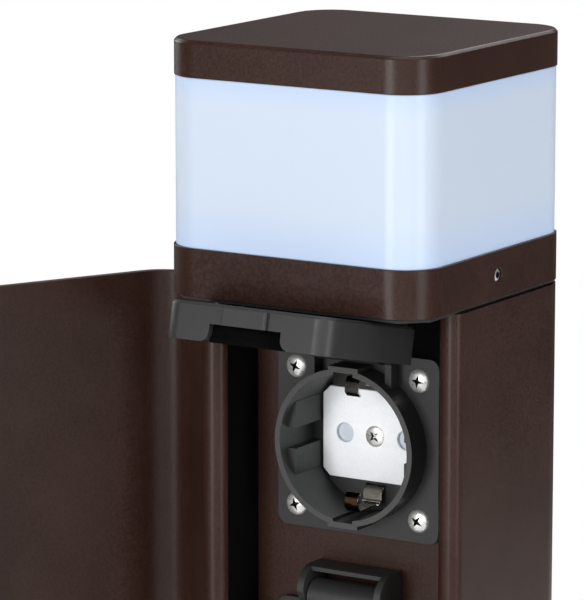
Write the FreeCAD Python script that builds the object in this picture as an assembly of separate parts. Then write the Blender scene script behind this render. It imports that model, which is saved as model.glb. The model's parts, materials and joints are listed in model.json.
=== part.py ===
import FreeCAD, Part
import math
import os

# Garden lamp post with two flap sockets behind a hinged cover door.
# Origin at the middle of the underside of the base plate, +Z up, door side towards -Y.

V = FreeCAD.Vector
along_x = V(1, 0, 0)
along_y = V(0, 1, 0)
along_z = V(0, 0, 1)

# Whole post
post_height = 450.0
post_width = 80.0
corner_radius = 11.4
hidden_corner = 6.0
glass_corner = 7.4
screw_clearance = 0.05
running_clearance = 0.06

# Lamp head, from the top down
cap_height = 9.8
cap_inset = 0.2
cap_plate = 4.0
cap_edge = 0.8
glass_height = 44.8
glass_inset = 0.5
glass_wall = 3.0
tongue_inset = 1.2
tongue_height = 3.0
rebate_clearance = 0.2
glass_seat = 1.0
collar_height = 12.8
collar_proud = 0.1
collar_wall = 3.0
collar_ledge = 4.5
head_gap = 1.0
head_gasket_inset = 1.2
head_gasket_width = 7.2
head_gasket_corner = 2.4
spigot_plate = 3.0
spigot_wall = 3.0
spigot_clearance = 0.15
spigot_top_clearance = 0.2
spigot_cable_hole_radius = 7.0
set_screw_radius = 1.9
set_screw_drop = 6.5
set_screw_sink = 0.2
set_screw_key_depth = 1.2
tie_rod_radius = 2.0
tie_rod_setback = 9.0
tie_boss_width = 8.0
tie_boss_height = 5.0
tie_rod_bite = 3.5
tie_rod_gap = 0.2

# Light source
heat_sink_margin = 12.0
heat_sink_plate = 2.0
fin_count = 5
fin_thickness = 2.0
fin_length = 44.0
fin_pitch = 9.0
board_margin = 3.0
board_thickness = 1.6
emitter_rows = 4
emitter_pitch = 11.0
emitter_width = 3.5
emitter_height = 0.8
driver_side_gap = 4.3
driver_depth = 23.0
driver_height = 50.0
driver_drop = 87.95
driver_edge = 2.0

# Post extrusion
shell_wall = 2.5
column_width = 7.0
door_depth = 19.4
column_outer_radius = 3.0
column_inner_radius = 3.5
column_depth = 18.4
web_thickness = 2.5
port_side_setback = 10.5
port_rear_setback = 12.5
port_front_setback = 4.0
port_width = 8.4
port_rib = 3.0
port_hole_radius = 1.75
port_screw_depth = 14.0

# Base plate
base_width = 120.0
base_thickness = 6.0
base_corner_radius = 8.0
fixing_spacing = 96.0
fixing_hole_radius = 4.5
screw_head_sides = 12
screw_head_flats = 5.6
screw_head_height = 2.4
screw_pocket_flats = 6.4
screw_pocket_depth = 3.0
gland_y = 19.0
gland_thread_radius = 8.0
gland_bore_radius = 4.5
gland_flats = 22.0
gland_flange_height = 5.0
gland_nut_flats = 20.0
gland_nut_height = 9.0
gland_clearance = 0.1
gland_sink = 0.5

# Wiring compartment
terminal_drop = 139.95
bay_side_gap = 3.3
terminal_depth = 13.0
terminal_height = 18.0
terminal_edge = 2.0
pole_count = 3
pole_pitch = 12.0
pole_wire_width = 4.0
terminal_screw_radius = 1.7
terminal_screw_offset = 5.0
terminal_screw_length = 6.0
terminal_screw_sink = 0.4
earth_stud_drop = 32.0
earth_stud_radius = 2.0
earth_stud_length = 10.0
earth_nut_flats = 7.0
earth_nut_height = 3.2
service_height = 62.0
service_margin = 6.0
service_corner_radius = 4.0
service_cover_thickness = 2.0
service_seal_thickness = 0.8
service_seal_inset = 1.3
service_screw_inset = 3.0
service_screw_radius = 1.5
service_head_radius = 2.7
service_head_height = 1.6
service_screw_length = 6.0

# Cover door, drawn closed and then swung open
door_wall = 1.8
door_rim_radius = 0.75
door_bottom_gap = 2.0
door_top_gap = 0.3
door_return_gap = 0.6
door_open_angle = 116.9
hinge_side_inset = 2.0
hinge_setback = 7.8
labyrinth_gap = 0.7
labyrinth_overlap = 6.9
cord_notch_width = 34.0
cord_notch_height = 16.0
cord_notch_radius = 7.0
hinge_pin_radius = 1.2
hinge_notch_height = 15.0
hinge_notch_depth = 12.0
hinge_block_height = 7.0
hinge_gap = 0.3
hinge_tail_gap = 0.1
hinge_floor = 1.0
hinge_arm_height = 6.4
hinge_arm_overlap = 7.8
hinge_arm_inner = 3.2

# Cam lock on the door
lock_side_setback = 20.0
lock_drop = 69.95
lock_flange_radius = 8.0
lock_flange_height = 1.5
lock_barrel_radius = 6.0
lock_barrel_length = 20.0
lock_plug_radius = 4.0
lock_plug_proud = 0.4
lock_square = 5.0
lock_key_width = 1.2
lock_key_length = 5.0
lock_key_depth = 2.5
lock_nut_flats = 15.0
lock_nut_height = 3.0
cam_thickness = 1.8
cam_gap = 0.3
cam_length = 11.0
cam_width = 8.0
cam_corner = 1.6
cam_screw_radius = 1.5
cam_screw_flats = 6.6
cam_screw_head_height = 1.5
cam_screw_length = 6.0
keeper_thickness = 1.5
keeper_height = 24.0
keeper_reach = 4.5
keeper_gap = 0.5
keeper_length = 12.9
keeper_screw_spacing = 16.0
keeper_screw_setback = 3.5
keeper_screw_radius = 1.2
keeper_head_flats = 4.0
keeper_head_height = 1.2
keeper_screw_length = 4.5
keeper_slot_margin = 3.0

# Sockets
socket_pitch = 70.2
flange_width = 50.0
flange_thickness = 1.7
flange_corner_radius = 2.8
gasket_thickness = 0.5
gasket_inset = 0.5
ring_height = 7.7
ring_radius = 21.3
ring_wall = 1.6
recess_depth = 17.3
floor_thickness = 1.8
web_hole_clearance = 1.6
hole_sides = 12
key_width = 9.2
key_reach = 21.9
lug_face = 16.8
lug_inner = 2.85
lug_outer = 10.1
lug_setback = 3.6
screw_pitch = 38.0
flange_screw_radius = 1.6
flange_head_radius = 3.2
flange_head_height = 1.3
flange_screw_length = 7.0
insert_width = 32.8
insert_height = 25.0
insert_chamfer = 2.2
insert_proud = 0.5
insert_depth = 4.5
insert_plate = 0.9
insert_wall = 1.2
insert_clearance = 0.2
insert_boss_radius = 3.2
pin_pitch = 19.0
pin_hole_radius = 2.65
insert_screw_radius = 1.5
insert_head_radius = 2.9
insert_head_height = 0.6
insert_screw_length = 14.0
shutter_gap = 0.2
shutter_thickness = 1.2
shutter_length = 26.0
shutter_width = 10.0
shutter_corner = 2.0
contact_gap = 0.6
contact_width = 6.2
contact_wall = 0.7
contact_length = 16.0
contact_seat_clearance = 0.1
rear_body_width = 36.0
rear_body_corner = 6.0
rear_body_depth = 20.0
clip_thickness = 0.6
clip_gap = 1.9
clip_rise = 1.6
clip_bend = 1.2
clip_hook_setback = 4.7
clip_slot_gap = 0.2
clip_width = 5.8
clip_tip_width = 4.2
clip_wide_length = 3.4
clip_slot_top = 13.2
clip_slot_height = 1.4

# Socket lid and its hinge hood
lid_pin_radius = 1.5
lid_pin_setback = 4.05
lid_pin_height = 27.85
lid_pin_sink = 0.1
lid_barrel_radius = 4.8
lid_barrel_gap = 0.4
lid_front = 10.24
lid_plate = 2.0
lid_skirt = 2.0
lid_flange_gap = 0.3
lid_top = 17.7
lid_bottom = 25.15
lid_corner_radius = 5.0
lid_edge = 0.7
lid_arm_thickness = 2.19
lid_arm_overlap = 0.4
lid_arm_core = 2.0
lid_arm_round = 4.2
lid_open_angle = 102.8
lid_open_gap = 0.08
lid_notch_width = 21.5
lid_notch_depth = 4.7
lid_notch_radius = 2.8
lid_notch_sink = 2.2
lid_notch_wall = 0.65
lid_tab_width = 13.6
lid_tab_proud = 1.5
lid_seal_inner = 19.6
lid_seal_outer = 21.6
lid_seal_thickness = 0.24
lid_seal_sides = 24
hood_width = 25.8
cheek_thickness = 2.0
hood_top = 36.3
hood_roof = 1.5
hood_roof_reach = 5.6
hood_front = 9.9
hood_round = 6.4
hood_chin = 1.9
cheek_front = 4.3
cheek_top = 23.2
cheek_bottom = 13.9
hood_clear_bottom = 22.4

# Levels and planes worked out from the sizes above
half_width = post_width / 2
cap_z = post_height - cap_height
collar_top_z = cap_z - glass_height
collar_z = collar_top_z - collar_height
body_top_z = collar_z - head_gap
spigot_top_z = collar_z + spigot_plate
ledge_z = collar_top_z - collar_ledge
glass_seat_width = post_width - 2 * (glass_inset + glass_wall + glass_seat)
heat_sink_width = post_width - 2 * heat_sink_margin
board_width = heat_sink_width - 2 * board_margin
fin_top_z = collar_top_z - tongue_height
sink_top_z = fin_top_z + heat_sink_plate
board_top_z = sink_top_z + board_thickness
recess_half = half_width - column_width
column_front = half_width - door_depth
web_front_y = -column_front + column_depth
web_back_y = web_front_y + web_thickness
chamber_half = half_width - shell_wall
port_front_y = web_back_y + port_front_setback
port_rear_y = half_width - port_rear_setback
port_x = half_width - port_side_setback
bay_half = port_x - port_width / 2 - bay_side_gap
tie_rod_y = half_width - tie_rod_setback
hinge_x = -half_width + hinge_side_inset
hinge_y = -column_front + hinge_setback
hinge_notch_rear_y = -column_front + hinge_notch_depth
door_inner_y = -half_width + door_wall
door_return_y = -column_front - door_return_gap
door_bottom_z = base_thickness + door_bottom_gap
door_top_z = body_top_z - door_top_gap
flange_y = web_front_y - gasket_thickness - flange_thickness
ring_y = flange_y - ring_height
floor_y = ring_y + recess_depth
floor_back_y = floor_y + floor_thickness
recess_radius = ring_radius - ring_wall
web_hole_radius = (key_reach + web_hole_clearance) / math.cos(math.pi / hole_sides)
insert_y = floor_y - insert_proud
insert_back_y = insert_y + insert_depth
shutter_y = insert_y + insert_plate + shutter_gap
contact_y = shutter_y + shutter_thickness + contact_gap
lid_pin_y = flange_y - lid_pin_setback
lid_front_y = flange_y - lid_front
lid_rim_y = flange_y - lid_flange_gap
lid_barrel_width = hood_width - 2 * (cheek_thickness + lid_barrel_gap)
lid_tilt = math.radians(lid_open_angle - 90)
open_lid_rise = (lid_front - lid_pin_setback) / math.cos(lid_tilt) + lid_open_gap
open_lid_rise += (half_width + lid_pin_y) * math.tan(lid_tilt)
upper_socket_z = body_top_z - lid_pin_height - open_lid_rise
lower_socket_z = upper_socket_z - socket_pitch
lock_x = half_width - lock_side_setback
lock_z = lower_socket_z - lock_drop
driver_z = lower_socket_z - driver_drop
terminal_z = lower_socket_z - terminal_drop
earth_stud_z = terminal_z - earth_stud_drop
socket_levels = {"upper": upper_socket_z, "lower": lower_socket_z}
port_places = [
    (sx * port_x, y) for y in (port_front_y, port_rear_y) for sx in (-1, 1)
]
tie_places = [(0, side * tie_rod_y) for side in (-1, 1)]


def block(x0, x1, y0, y1, z0, z1):
    return Part.makeBox(x1 - x0, y1 - y0, z1 - z0, V(x0, y0, z0))


def rod(radius, start, direction, length):
    return Part.makeCylinder(radius, length, start, direction)


def fused(shapes):
    first, rest = shapes[0], shapes[1:]
    return first.fuse(rest).removeSplitter() if rest else first


def edges_along(shape, axis, x=None, y=None, z=None):
    """The straight edges that run along an axis and pass through the places given."""
    found = []
    for edge in shape.Edges:
        if edge.Curve.TypeId != "Part::GeomLine":
            continue
        if abs(abs(edge.tangentAt(edge.FirstParameter).dot(axis)) - 1) > 1e-6:
            continue
        middle = edge.CenterOfMass
        places = ((x, middle.x), (y, middle.y), (z, middle.z))
        if all(want is None or abs(want - has) < 1e-4 for want, has in places):
            found.append(edge)
    return found


def square_prism(width, radius, z0, z1):
    """An upright square prism with round corners, centred on the post's axis."""
    half = width / 2
    prism = block(-half, half, -half, half, z0, z1)
    return prism.makeFillet(radius, edges_along(prism, along_z))


def core_prism(width, z0, z1, corner=hidden_corner):
    """An upright square prism whose corners are plain flats, for hidden hollows."""
    half = width / 2
    prism = block(-half, half, -half, half, z0, z1)
    return prism.makeChamfer(corner, edges_along(prism, along_z))


def face_slab(x_half, z0, z1, y0, y1, radius):
    """A plate that stands in the XZ plane, with its corners rounded about Y."""
    slab = block(-x_half, x_half, y0, y1, z0, z1)
    return slab.makeFillet(radius, edges_along(slab, along_y))


def regular_prism(sides, radius, start, direction, length):
    """A prism whose corners lie at the radius given; start is the middle of its first face."""
    across = along_z if abs(direction.z) < 0.5 else along_y
    other = direction.cross(across)
    points = []
    for step in range(sides + 1):
        turn = 2 * math.pi * step / sides
        arm = across * (radius * math.cos(turn)) + other * (radius * math.sin(turn))
        points.append(start + arm)
    return Part.Face(Part.makePolygon(points)).extrude(direction * length)


def hexagon_prism(flats, start, direction, length):
    return regular_prism(6, flats / math.sqrt(3), start, direction, length)


def faceted_rod(radius, start, direction, length):
    """A rod of many flats whose corners lie at the radius, for threads that stay hidden."""
    return regular_prism(hole_sides, radius, start, direction, length)


def faceted_hole(radius, start, direction, length):
    """The hole for a faceted rod, or for a round one: its flats lie at the radius."""
    return faceted_rod(radius / math.cos(math.pi / hole_sides), start, direction, length)


def side_profile(points, x0, x1):
    """A flat outline of (y, z) points, extruded along X."""
    outline = [V(x0, y, z) for y, z in points]
    return Part.Face(Part.makePolygon(outline + outline[:1])).extrude(V(x1 - x0, 0, 0))


def thread(radius, start, direction, length):
    """Six flats stand for a thread of the radius given."""
    return regular_prism(6, radius, start, direction, length)


def screw_hole(radius, start, direction, length):
    return thread(radius + screw_clearance, start, direction, length)


def pan_head_screw(head_radius, head_height, shank_radius, length, seat, into):
    """A screw whose head, a prism of many sides, sits on seat; its shank runs along into."""
    head = regular_prism(screw_head_sides, head_radius, seat, into * -1, head_height)
    return head.fuse(thread(shank_radius, seat, into, length))


def hex_head_screw(head_flats, head_height, shank_radius, length, seat, into):
    head = hexagon_prism(head_flats, seat, into * -1, head_height)
    return head.fuse(thread(shank_radius, seat, into, length))


def glass_rebate(z0, z1):
    """The space in the cap or the collar that takes one end of the glass."""
    inset = glass_inset + tongue_inset - rebate_clearance
    return core_prism(post_width - 2 * inset, z0, z1, glass_corner)


def make_top_cap():
    width = post_width - 2 * cap_inset
    cap = square_prism(width, corner_radius - cap_inset, cap_z, post_height)
    rim = [e for e in cap.Edges if abs(e.BoundBox.ZMin - post_height) < 1e-6]
    cap = cap.makeChamfer(cap_edge, rim)
    hollow = core_prism(glass_seat_width, cap_z, post_height - cap_plate)
    cap = cap.cut([glass_rebate(cap_z, cap_z + tongue_height), hollow])
    boss_z = post_height - cap_plate - tie_boss_height
    half = tie_boss_width / 2
    bosses = [
        block(x - half, x + half, y - half, y + half, boss_z, boss_z + tie_boss_height)
        for x, y in tie_places
    ]
    holes = [
        screw_hole(tie_rod_radius, V(x, y, boss_z), along_z, tie_boss_height - 1)
        for x, y in tie_places
    ]
    return cap.fuse(bosses).cut(holes)


def make_diffuser():
    width = post_width - 2 * glass_inset
    bottom, top = collar_top_z - tongue_height, cap_z + tongue_height
    shade = square_prism(width, corner_radius - glass_inset, collar_top_z, cap_z)
    tongue = core_prism(width - 2 * tongue_inset, bottom, top, glass_corner)
    hollow = core_prism(width - 2 * glass_wall, bottom, top)
    return shade.fuse(tongue).cut(hollow)


def make_head_collar():
    width = post_width + 2 * collar_proud
    radius = corner_radius + collar_proud
    collar = square_prism(width, radius, collar_z, collar_top_z)
    collar = collar.cut(core_prism(glass_seat_width, collar_z, collar_top_z))
    cavity = core_prism(width - 2 * collar_wall, collar_z, ledge_z)
    rebate = glass_rebate(collar_top_z - tongue_height, collar_top_z)
    start = V(-width, 0, collar_top_z - set_screw_drop)
    holes = faceted_hole(set_screw_radius + screw_clearance, start, along_x, 2 * width)
    return collar.cut([cavity, rebate, holes])


def make_collar_set_screws():
    inner = half_width + collar_proud - collar_wall - spigot_clearance
    length = collar_wall + spigot_clearance - set_screw_sink
    screws = []
    for side in (-1, 1):
        start = V(side * inner, 0, collar_top_z - set_screw_drop)
        out = V(side, 0, 0)
        screw = faceted_rod(set_screw_radius, start, out, length)
        key_start = start + out * (length - set_screw_key_depth)
        key = hexagon_prism(set_screw_radius, key_start, out, set_screw_key_depth)
        screws.append(screw.cut(key))
    return Part.makeCompound(screws)


def make_head_spigot():
    width = post_width + 2 * (collar_proud - collar_wall - spigot_clearance)
    top = ledge_z - spigot_top_clearance
    tray = core_prism(width, collar_z, top)
    hollow = core_prism(width - 2 * spigot_wall, spigot_top_z, top)
    holes = [
        screw_hole(port_hole_radius, V(x, y, collar_z), along_z, spigot_plate) for x, y in port_places
    ]
    holes += [
        screw_hole(tie_rod_radius, V(x, y, collar_z), along_z, spigot_plate) for x, y in tie_places
    ]
    cable_start = V(0, port_rear_y - port_front_y, collar_z)
    cable = faceted_hole(spigot_cable_hole_radius, cable_start, along_z, spigot_plate)
    return tray.cut([hollow, cable] + holes)


def port_screws(seat_z, depth, into):
    """One screw into each of the four screw ports of the post."""
    return Part.makeCompound(
        [
            hex_head_screw(
                screw_head_flats,
                screw_head_height,
                port_hole_radius - screw_clearance,
                depth,
                V(x, y, seat_z),
                into,
            )
            for x, y in port_places
        ]
    )


def make_spigot_screws():
    depth = spigot_plate + head_gap + port_screw_depth
    return port_screws(spigot_top_z, depth, along_z * -1)


def make_head_gasket():
    width = post_width - 2 * head_gasket_inset
    inner_width = width - 2 * head_gasket_width
    inner = core_prism(inner_width, body_top_z, collar_z, head_gasket_corner)
    return core_prism(width, body_top_z, collar_z).cut(inner)


def make_tie_rods():
    start_z = collar_z + tie_rod_gap
    end_z = post_height - cap_plate - tie_boss_height + tie_rod_bite
    return Part.makeCompound(
        [thread(tie_rod_radius, V(x, y, start_z), along_z, end_z - start_z) for x, y in tie_places]
    )


def make_heat_sink():
    half = heat_sink_width / 2
    plate = block(-half, half, -half, half, fin_top_z, sink_top_z)
    fins = []
    for index in range(fin_count):
        x = (index - (fin_count - 1) / 2) * fin_pitch
        fins.append(
            block(
                x - fin_thickness / 2,
                x + fin_thickness / 2,
                -fin_length / 2,
                fin_length / 2,
                spigot_top_z,
                fin_top_z,
            )
        )
    return fused([plate] + fins)


def make_led_board():
    half = board_width / 2
    return block(-half, half, -half, half, sink_top_z, board_top_z)


def make_led_emitters():
    span = (emitter_rows - 1) / 2
    places = [(i - span, j - span) for i in range(emitter_rows) for j in range(emitter_rows)]
    half = emitter_width / 2
    return Part.makeCompound(
        [
            block(
                i * emitter_pitch - half,
                i * emitter_pitch + half,
                j * emitter_pitch - half,
                j * emitter_pitch + half,
                board_top_z,
                board_top_z + emitter_height,
            )
            for i, j in places
        ]
    )


def make_led_driver():
    half = port_x - port_width / 2 - driver_side_gap
    front = chamber_half - driver_depth
    box = block(-half, half, front, chamber_half, driver_z, driver_z + driver_height)
    return box.makeChamfer(driver_edge, edges_along(box, along_z, y=front))


def hinge_levels():
    """The underside of each hinge block; the door arm rides on its top."""
    return (base_thickness, body_top_z - hinge_notch_height)


def hinge_notches():
    """The stretches of the left column that are open for the hinges."""
    x0, x1 = -half_width - 1, -recess_half + 1
    y0, y1 = -column_front - 1, hinge_notch_rear_y
    return [block(x0, x1, y0, y1, z, z + hinge_notch_height) for z in hinge_levels()]


def make_post_body():
    z0, z1 = base_thickness, body_top_z
    body = block(-half_width, half_width, -column_front, half_width, z0, z1)
    body = body.makeFillet(corner_radius, edges_along(body, along_z, y=half_width))
    body = body.cut(block(-recess_half, recess_half, -column_front, web_front_y, z0, z1))
    outer = [e for s in (-1, 1) for e in edges_along(body, along_z, x=s * half_width, y=-column_front)]
    body = body.makeFillet(column_outer_radius, outer)
    inner = [e for s in (-1, 1) for e in edges_along(body, along_z, x=s * recess_half, y=-column_front)]
    body = body.makeFillet(column_inner_radius, inner)
    chamber = block(-chamber_half, chamber_half, web_back_y, chamber_half, z0, z1)
    rear = edges_along(chamber, along_z, y=chamber_half)
    body = body.cut(chamber.makeChamfer(hidden_corner, rear))
    half = port_width / 2
    ports = [block(x - half, x + half, y - half, y + half, z0, z1) for x, y in port_places]
    ports += [
        block(
            min(side * port_x, side * (chamber_half + 1)),
            max(side * port_x, side * (chamber_half + 1)),
            port_rear_y - port_rib / 2,
            port_rear_y + port_rib / 2,
            z0,
            z1,
        )
        for side in (-1, 1)
    ]
    body = body.fuse(ports).removeSplitter()
    cuts = [thread(port_hole_radius, V(x, y, z0), along_z, z1 - z0) for x, y in port_places]
    cuts += hinge_notches()
    for level in socket_levels.values():
        cuts.append(web_hole(level, web_front_y, web_thickness))
        cuts += [
            screw_hole(flange_screw_radius, V(x, web_front_y, z), along_y, web_thickness)
            for x, z in flange_screw_places(level)
        ]
    cuts.append(service_window(web_front_y, web_back_y))
    cuts += [
        screw_hole(service_screw_radius, V(x, web_front_y, z), along_y, web_thickness)
        for x, z in service_screw_places()
    ]
    cuts += [
        screw_hole(keeper_screw_radius, V(recess_half, keeper_screw_y(), z), along_x, keeper_screw_length)
        for z in keeper_screw_levels()
    ]
    return body.cut(cuts)


def make_base_plate():
    plate = square_prism(base_width, base_corner_radius, 0, base_thickness)
    half = fixing_spacing / 2
    cuts = [
        rod(fixing_hole_radius, V(sx * half, sy * half, 0), along_z, base_thickness)
        for sx in (-1, 1)
        for sy in (-1, 1)
    ]
    cuts += [
        screw_hole(port_hole_radius, V(x, y, 0), along_z, base_thickness) for x, y in port_places
    ]
    cuts += [
        hexagon_prism(screw_pocket_flats, V(x, y, 0), along_z, screw_pocket_depth)
        for x, y in port_places
    ]
    gland_hole_radius = gland_thread_radius + gland_clearance
    cuts.append(faceted_hole(gland_hole_radius, V(0, gland_y, 0), along_z, base_thickness))
    return plate.cut(cuts)


def make_base_screws():
    depth = base_thickness - screw_pocket_depth + port_screw_depth
    return port_screws(screw_pocket_depth, depth, along_z)


def make_cable_gland():
    start = V(0, gland_y, gland_sink)
    neck = faceted_rod(gland_thread_radius, start, along_z, base_thickness - gland_sink)
    flange = hexagon_prism(gland_flats, V(0, gland_y, base_thickness), along_z, gland_flange_height)
    bore_length = base_thickness + gland_flange_height
    bore = faceted_hole(gland_bore_radius, V(0, gland_y, 0), along_z, bore_length)
    return neck.fuse(flange).cut(bore)


def make_gland_nut():
    start = V(0, gland_y, base_thickness + gland_flange_height)
    nut = hexagon_prism(gland_nut_flats, start, along_z, gland_nut_height)
    return nut.cut(faceted_hole(gland_bore_radius, start, along_z, gland_nut_height))


def pole_places():
    return [(index - (pole_count - 1) / 2) * pole_pitch for index in range(pole_count)]


def make_terminal_block():
    half = bay_half
    front = chamber_half - terminal_depth
    z0, z1 = terminal_z - terminal_height / 2, terminal_z + terminal_height / 2
    body = block(-half, half, front, chamber_half, z0, z1)
    front_edges = [e for z in (z0, z1) for e in edges_along(body, along_x, y=front, z=z)]
    body = body.makeChamfer(terminal_edge, front_edges)
    cuts = []
    wire_y = front + terminal_depth / 2
    half = pole_wire_width / 2
    well = terminal_screw_radius + screw_clearance
    for x in pole_places():
        cuts.append(block(x - half, x + half, wire_y - half, wire_y + half, z0, z1))
        for z in terminal_screw_levels():
            cuts.append(block(x - well, x + well, front, wire_y, z - well, z + well))
    return body.cut(cuts)


def terminal_screw_levels():
    return (terminal_z - terminal_screw_offset, terminal_z + terminal_screw_offset)


def make_terminal_screws():
    front = chamber_half - terminal_depth + terminal_screw_sink
    flats = terminal_screw_radius * math.sqrt(3)
    return Part.makeCompound(
        [
            hexagon_prism(flats, V(x, front, z), along_y, terminal_screw_length)
            for x in pole_places()
            for z in terminal_screw_levels()
        ]
    )


def make_earth_stud():
    start = V(0, chamber_half - earth_stud_length, earth_stud_z)
    stud = thread(earth_stud_radius, start, along_y, earth_stud_length)
    nut_start = V(0, chamber_half - earth_nut_height, earth_stud_z)
    nut = hexagon_prism(earth_nut_flats, nut_start, along_y, earth_nut_height)
    return fused([stud, nut])


def service_screw_places():
    height = service_height / 2 + service_screw_inset
    return [(0, terminal_z + side * height) for side in (-1, 1)]


def service_window(y0, y1):
    """The opening behind the service cover."""
    reach = service_height / 2
    return block(-bay_half, bay_half, y0, y1, terminal_z - reach, terminal_z + reach)


def make_service_cover():
    front = web_front_y - service_seal_thickness - service_cover_thickness
    x = bay_half + service_margin
    z = service_height / 2 + service_margin
    plate = face_slab(
        x, terminal_z - z, terminal_z + z, front, front + service_cover_thickness, service_corner_radius
    )
    holes = [
        screw_hole(service_screw_radius, V(x, front, z), along_y, service_cover_thickness)
        for x, z in service_screw_places()
    ]
    return plate.cut(holes)


def make_service_cover_seal():
    front = web_front_y - service_seal_thickness
    x = bay_half + service_margin - service_seal_inset
    z = service_height / 2 + service_margin - service_seal_inset
    plate = block(-x, x, front, web_front_y, terminal_z - z, terminal_z + z)
    holes = [
        screw_hole(service_screw_radius, V(x, front, z), along_y, service_seal_thickness)
        for x, z in service_screw_places()
    ]
    return plate.cut([service_window(front, web_front_y)] + holes)


def make_service_cover_screws():
    seat = web_front_y - service_seal_thickness - service_cover_thickness
    return Part.makeCompound(
        [
            pan_head_screw(
                service_head_radius,
                service_head_height,
                service_screw_radius,
                service_screw_length,
                V(x, seat, z),
                along_y,
            )
            for x, z in service_screw_places()
        ]
    )


def swing_open(shape):
    """Turn a piece that is drawn on the closed door to the open pose."""
    turned = shape.copy()
    turned.rotate(V(hinge_x, hinge_y, 0), along_z, -door_open_angle)
    return turned


def make_door():
    z0, z1 = door_bottom_z, door_top_z
    outer = block(-half_width, half_width, -half_width, door_return_y, z0, z1)
    outer = outer.makeFillet(corner_radius, edges_along(outer, along_z, y=-half_width))
    inner_half = half_width - door_wall
    inner = block(-inner_half, inner_half, door_inner_y, door_return_y, z0, z1)
    inner = inner.makeFillet(corner_radius - door_wall, edges_along(inner, along_z, y=door_inner_y))
    shell = outer.cut(inner)
    rims = [
        e
        for x in (-half_width, -inner_half, inner_half, half_width)
        for e in edges_along(shell, along_z, x=x, y=door_return_y)
    ]
    shell = shell.makeFillet(door_rim_radius, rims)
    web_x = recess_half - labyrinth_gap
    rear = -column_front + labyrinth_overlap
    web = block(web_x - door_wall, web_x, door_inner_y - 0.5, rear, z0, z1)
    web = web.makeFillet(door_rim_radius, edges_along(web, along_z, y=rear))
    slot_half = keeper_height / 2 + keeper_slot_margin
    slot = block(
        web_x - door_wall - 1,
        web_x + 1,
        keeper_front_y() - keeper_slot_margin,
        rear + 1,
        lock_z - slot_half,
        lock_z + slot_half,
    )
    shell = shell.fuse(web.cut(slot)).removeSplitter()
    cord_notch = face_slab(
        cord_notch_width / 2,
        z0 - cord_notch_height,
        z0 + cord_notch_height,
        -half_width - 1,
        door_inner_y + 1,
        cord_notch_radius,
    )
    lock_start = V(lock_x, -half_width - 1, lock_z)
    lock_hole = faceted_hole(lock_barrel_radius + screw_clearance, lock_start, along_y, door_wall + 2)
    return swing_open(shell.cut([cord_notch, lock_hole]))


def make_door_hinge_arms():
    arms = []
    outer_x = -half_width
    inner_x = hinge_x + hinge_arm_inner
    face_x = -half_width + door_wall
    for level in hinge_levels():
        z0 = level + hinge_block_height + hinge_gap
        z1 = z0 + hinge_arm_height
        leaf = block(face_x, inner_x, -column_front - hinge_arm_overlap, hinge_y, z0, z1)
        tail = block(outer_x, inner_x, door_return_y + hinge_tail_gap, hinge_y, z0, z1)
        eye = rod(hinge_arm_inner, V(hinge_x, hinge_y, z0), along_z, hinge_arm_height)
        eye = eye.common(block(outer_x, 0, -half_width, 0, z0, z1))
        arm = fused([leaf, tail, eye])
        start = V(hinge_x, hinge_y, z0)
        hole = faceted_hole(hinge_pin_radius + running_clearance, start, along_z, hinge_arm_height)
        arms.append(swing_open(arm.cut(hole)))
    return Part.makeCompound(arms)


def make_hinge_blocks():
    blocks = []
    for level in hinge_levels():
        z0, z1 = level, level + hinge_block_height
        piece = block(-half_width, -recess_half, -column_front, hinge_notch_rear_y, z0, z1)
        piece = piece.makeFillet(
            column_outer_radius, edges_along(piece, along_z, x=-half_width, y=-column_front)
        )
        piece = piece.makeFillet(
            column_inner_radius, edges_along(piece, along_z, x=-recess_half, y=-column_front)
        )
        start = V(hinge_x, hinge_y, z0 + hinge_floor)
        hole = faceted_hole(hinge_pin_radius + screw_clearance, start, along_z, hinge_block_height)
        blocks.append(piece.cut(hole))
    return Part.makeCompound(blocks)


def make_hinge_pins():
    length = hinge_block_height - hinge_floor + hinge_gap + hinge_arm_height
    starts = [V(hinge_x, hinge_y, level + hinge_floor) for level in hinge_levels()]
    return Part.makeCompound([rod(hinge_pin_radius, start, along_z, length) for start in starts])


def barrel_rear_y():
    return -half_width + lock_barrel_length


def cam_front_y():
    return barrel_rear_y() + cam_gap


def make_lock_barrel():
    start = V(lock_x, -half_width - lock_flange_height, lock_z)
    length = lock_barrel_length + lock_flange_height
    flange = rod(lock_flange_radius, start, along_y, lock_flange_height)
    barrel = faceted_rod(lock_barrel_radius, start, along_y, length)
    bore = faceted_hole(lock_plug_radius + running_clearance, start, along_y, length)
    return swing_open(flange.fuse(barrel).removeSplitter().cut(bore))


def make_lock_plug():
    front = -half_width - lock_flange_height - lock_plug_proud
    plug = rod(lock_plug_radius, V(lock_x, front, lock_z), along_y, cam_front_y() - front)
    half = lock_square / 2
    rear = cam_front_y() + cam_thickness
    square = block(lock_x - half, lock_x + half, cam_front_y(), rear, lock_z - half, lock_z + half)
    key = block(
        lock_x - lock_key_width / 2,
        lock_x + lock_key_width / 2,
        front,
        front + lock_key_depth,
        lock_z - lock_key_length / 2,
        lock_z + lock_key_length / 2,
    )
    hole = screw_hole(
        cam_screw_radius, V(lock_x, rear - cam_screw_length, lock_z), along_y, cam_screw_length
    )
    return swing_open(plug.fuse(square).cut([key, hole]))


def make_lock_nut():
    start = V(lock_x, door_inner_y, lock_z)
    nut = hexagon_prism(lock_nut_flats, start, along_y, lock_nut_height)
    hole = faceted_hole(lock_barrel_radius + screw_clearance, start, along_y, lock_nut_height)
    return swing_open(nut.cut(hole))


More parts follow.
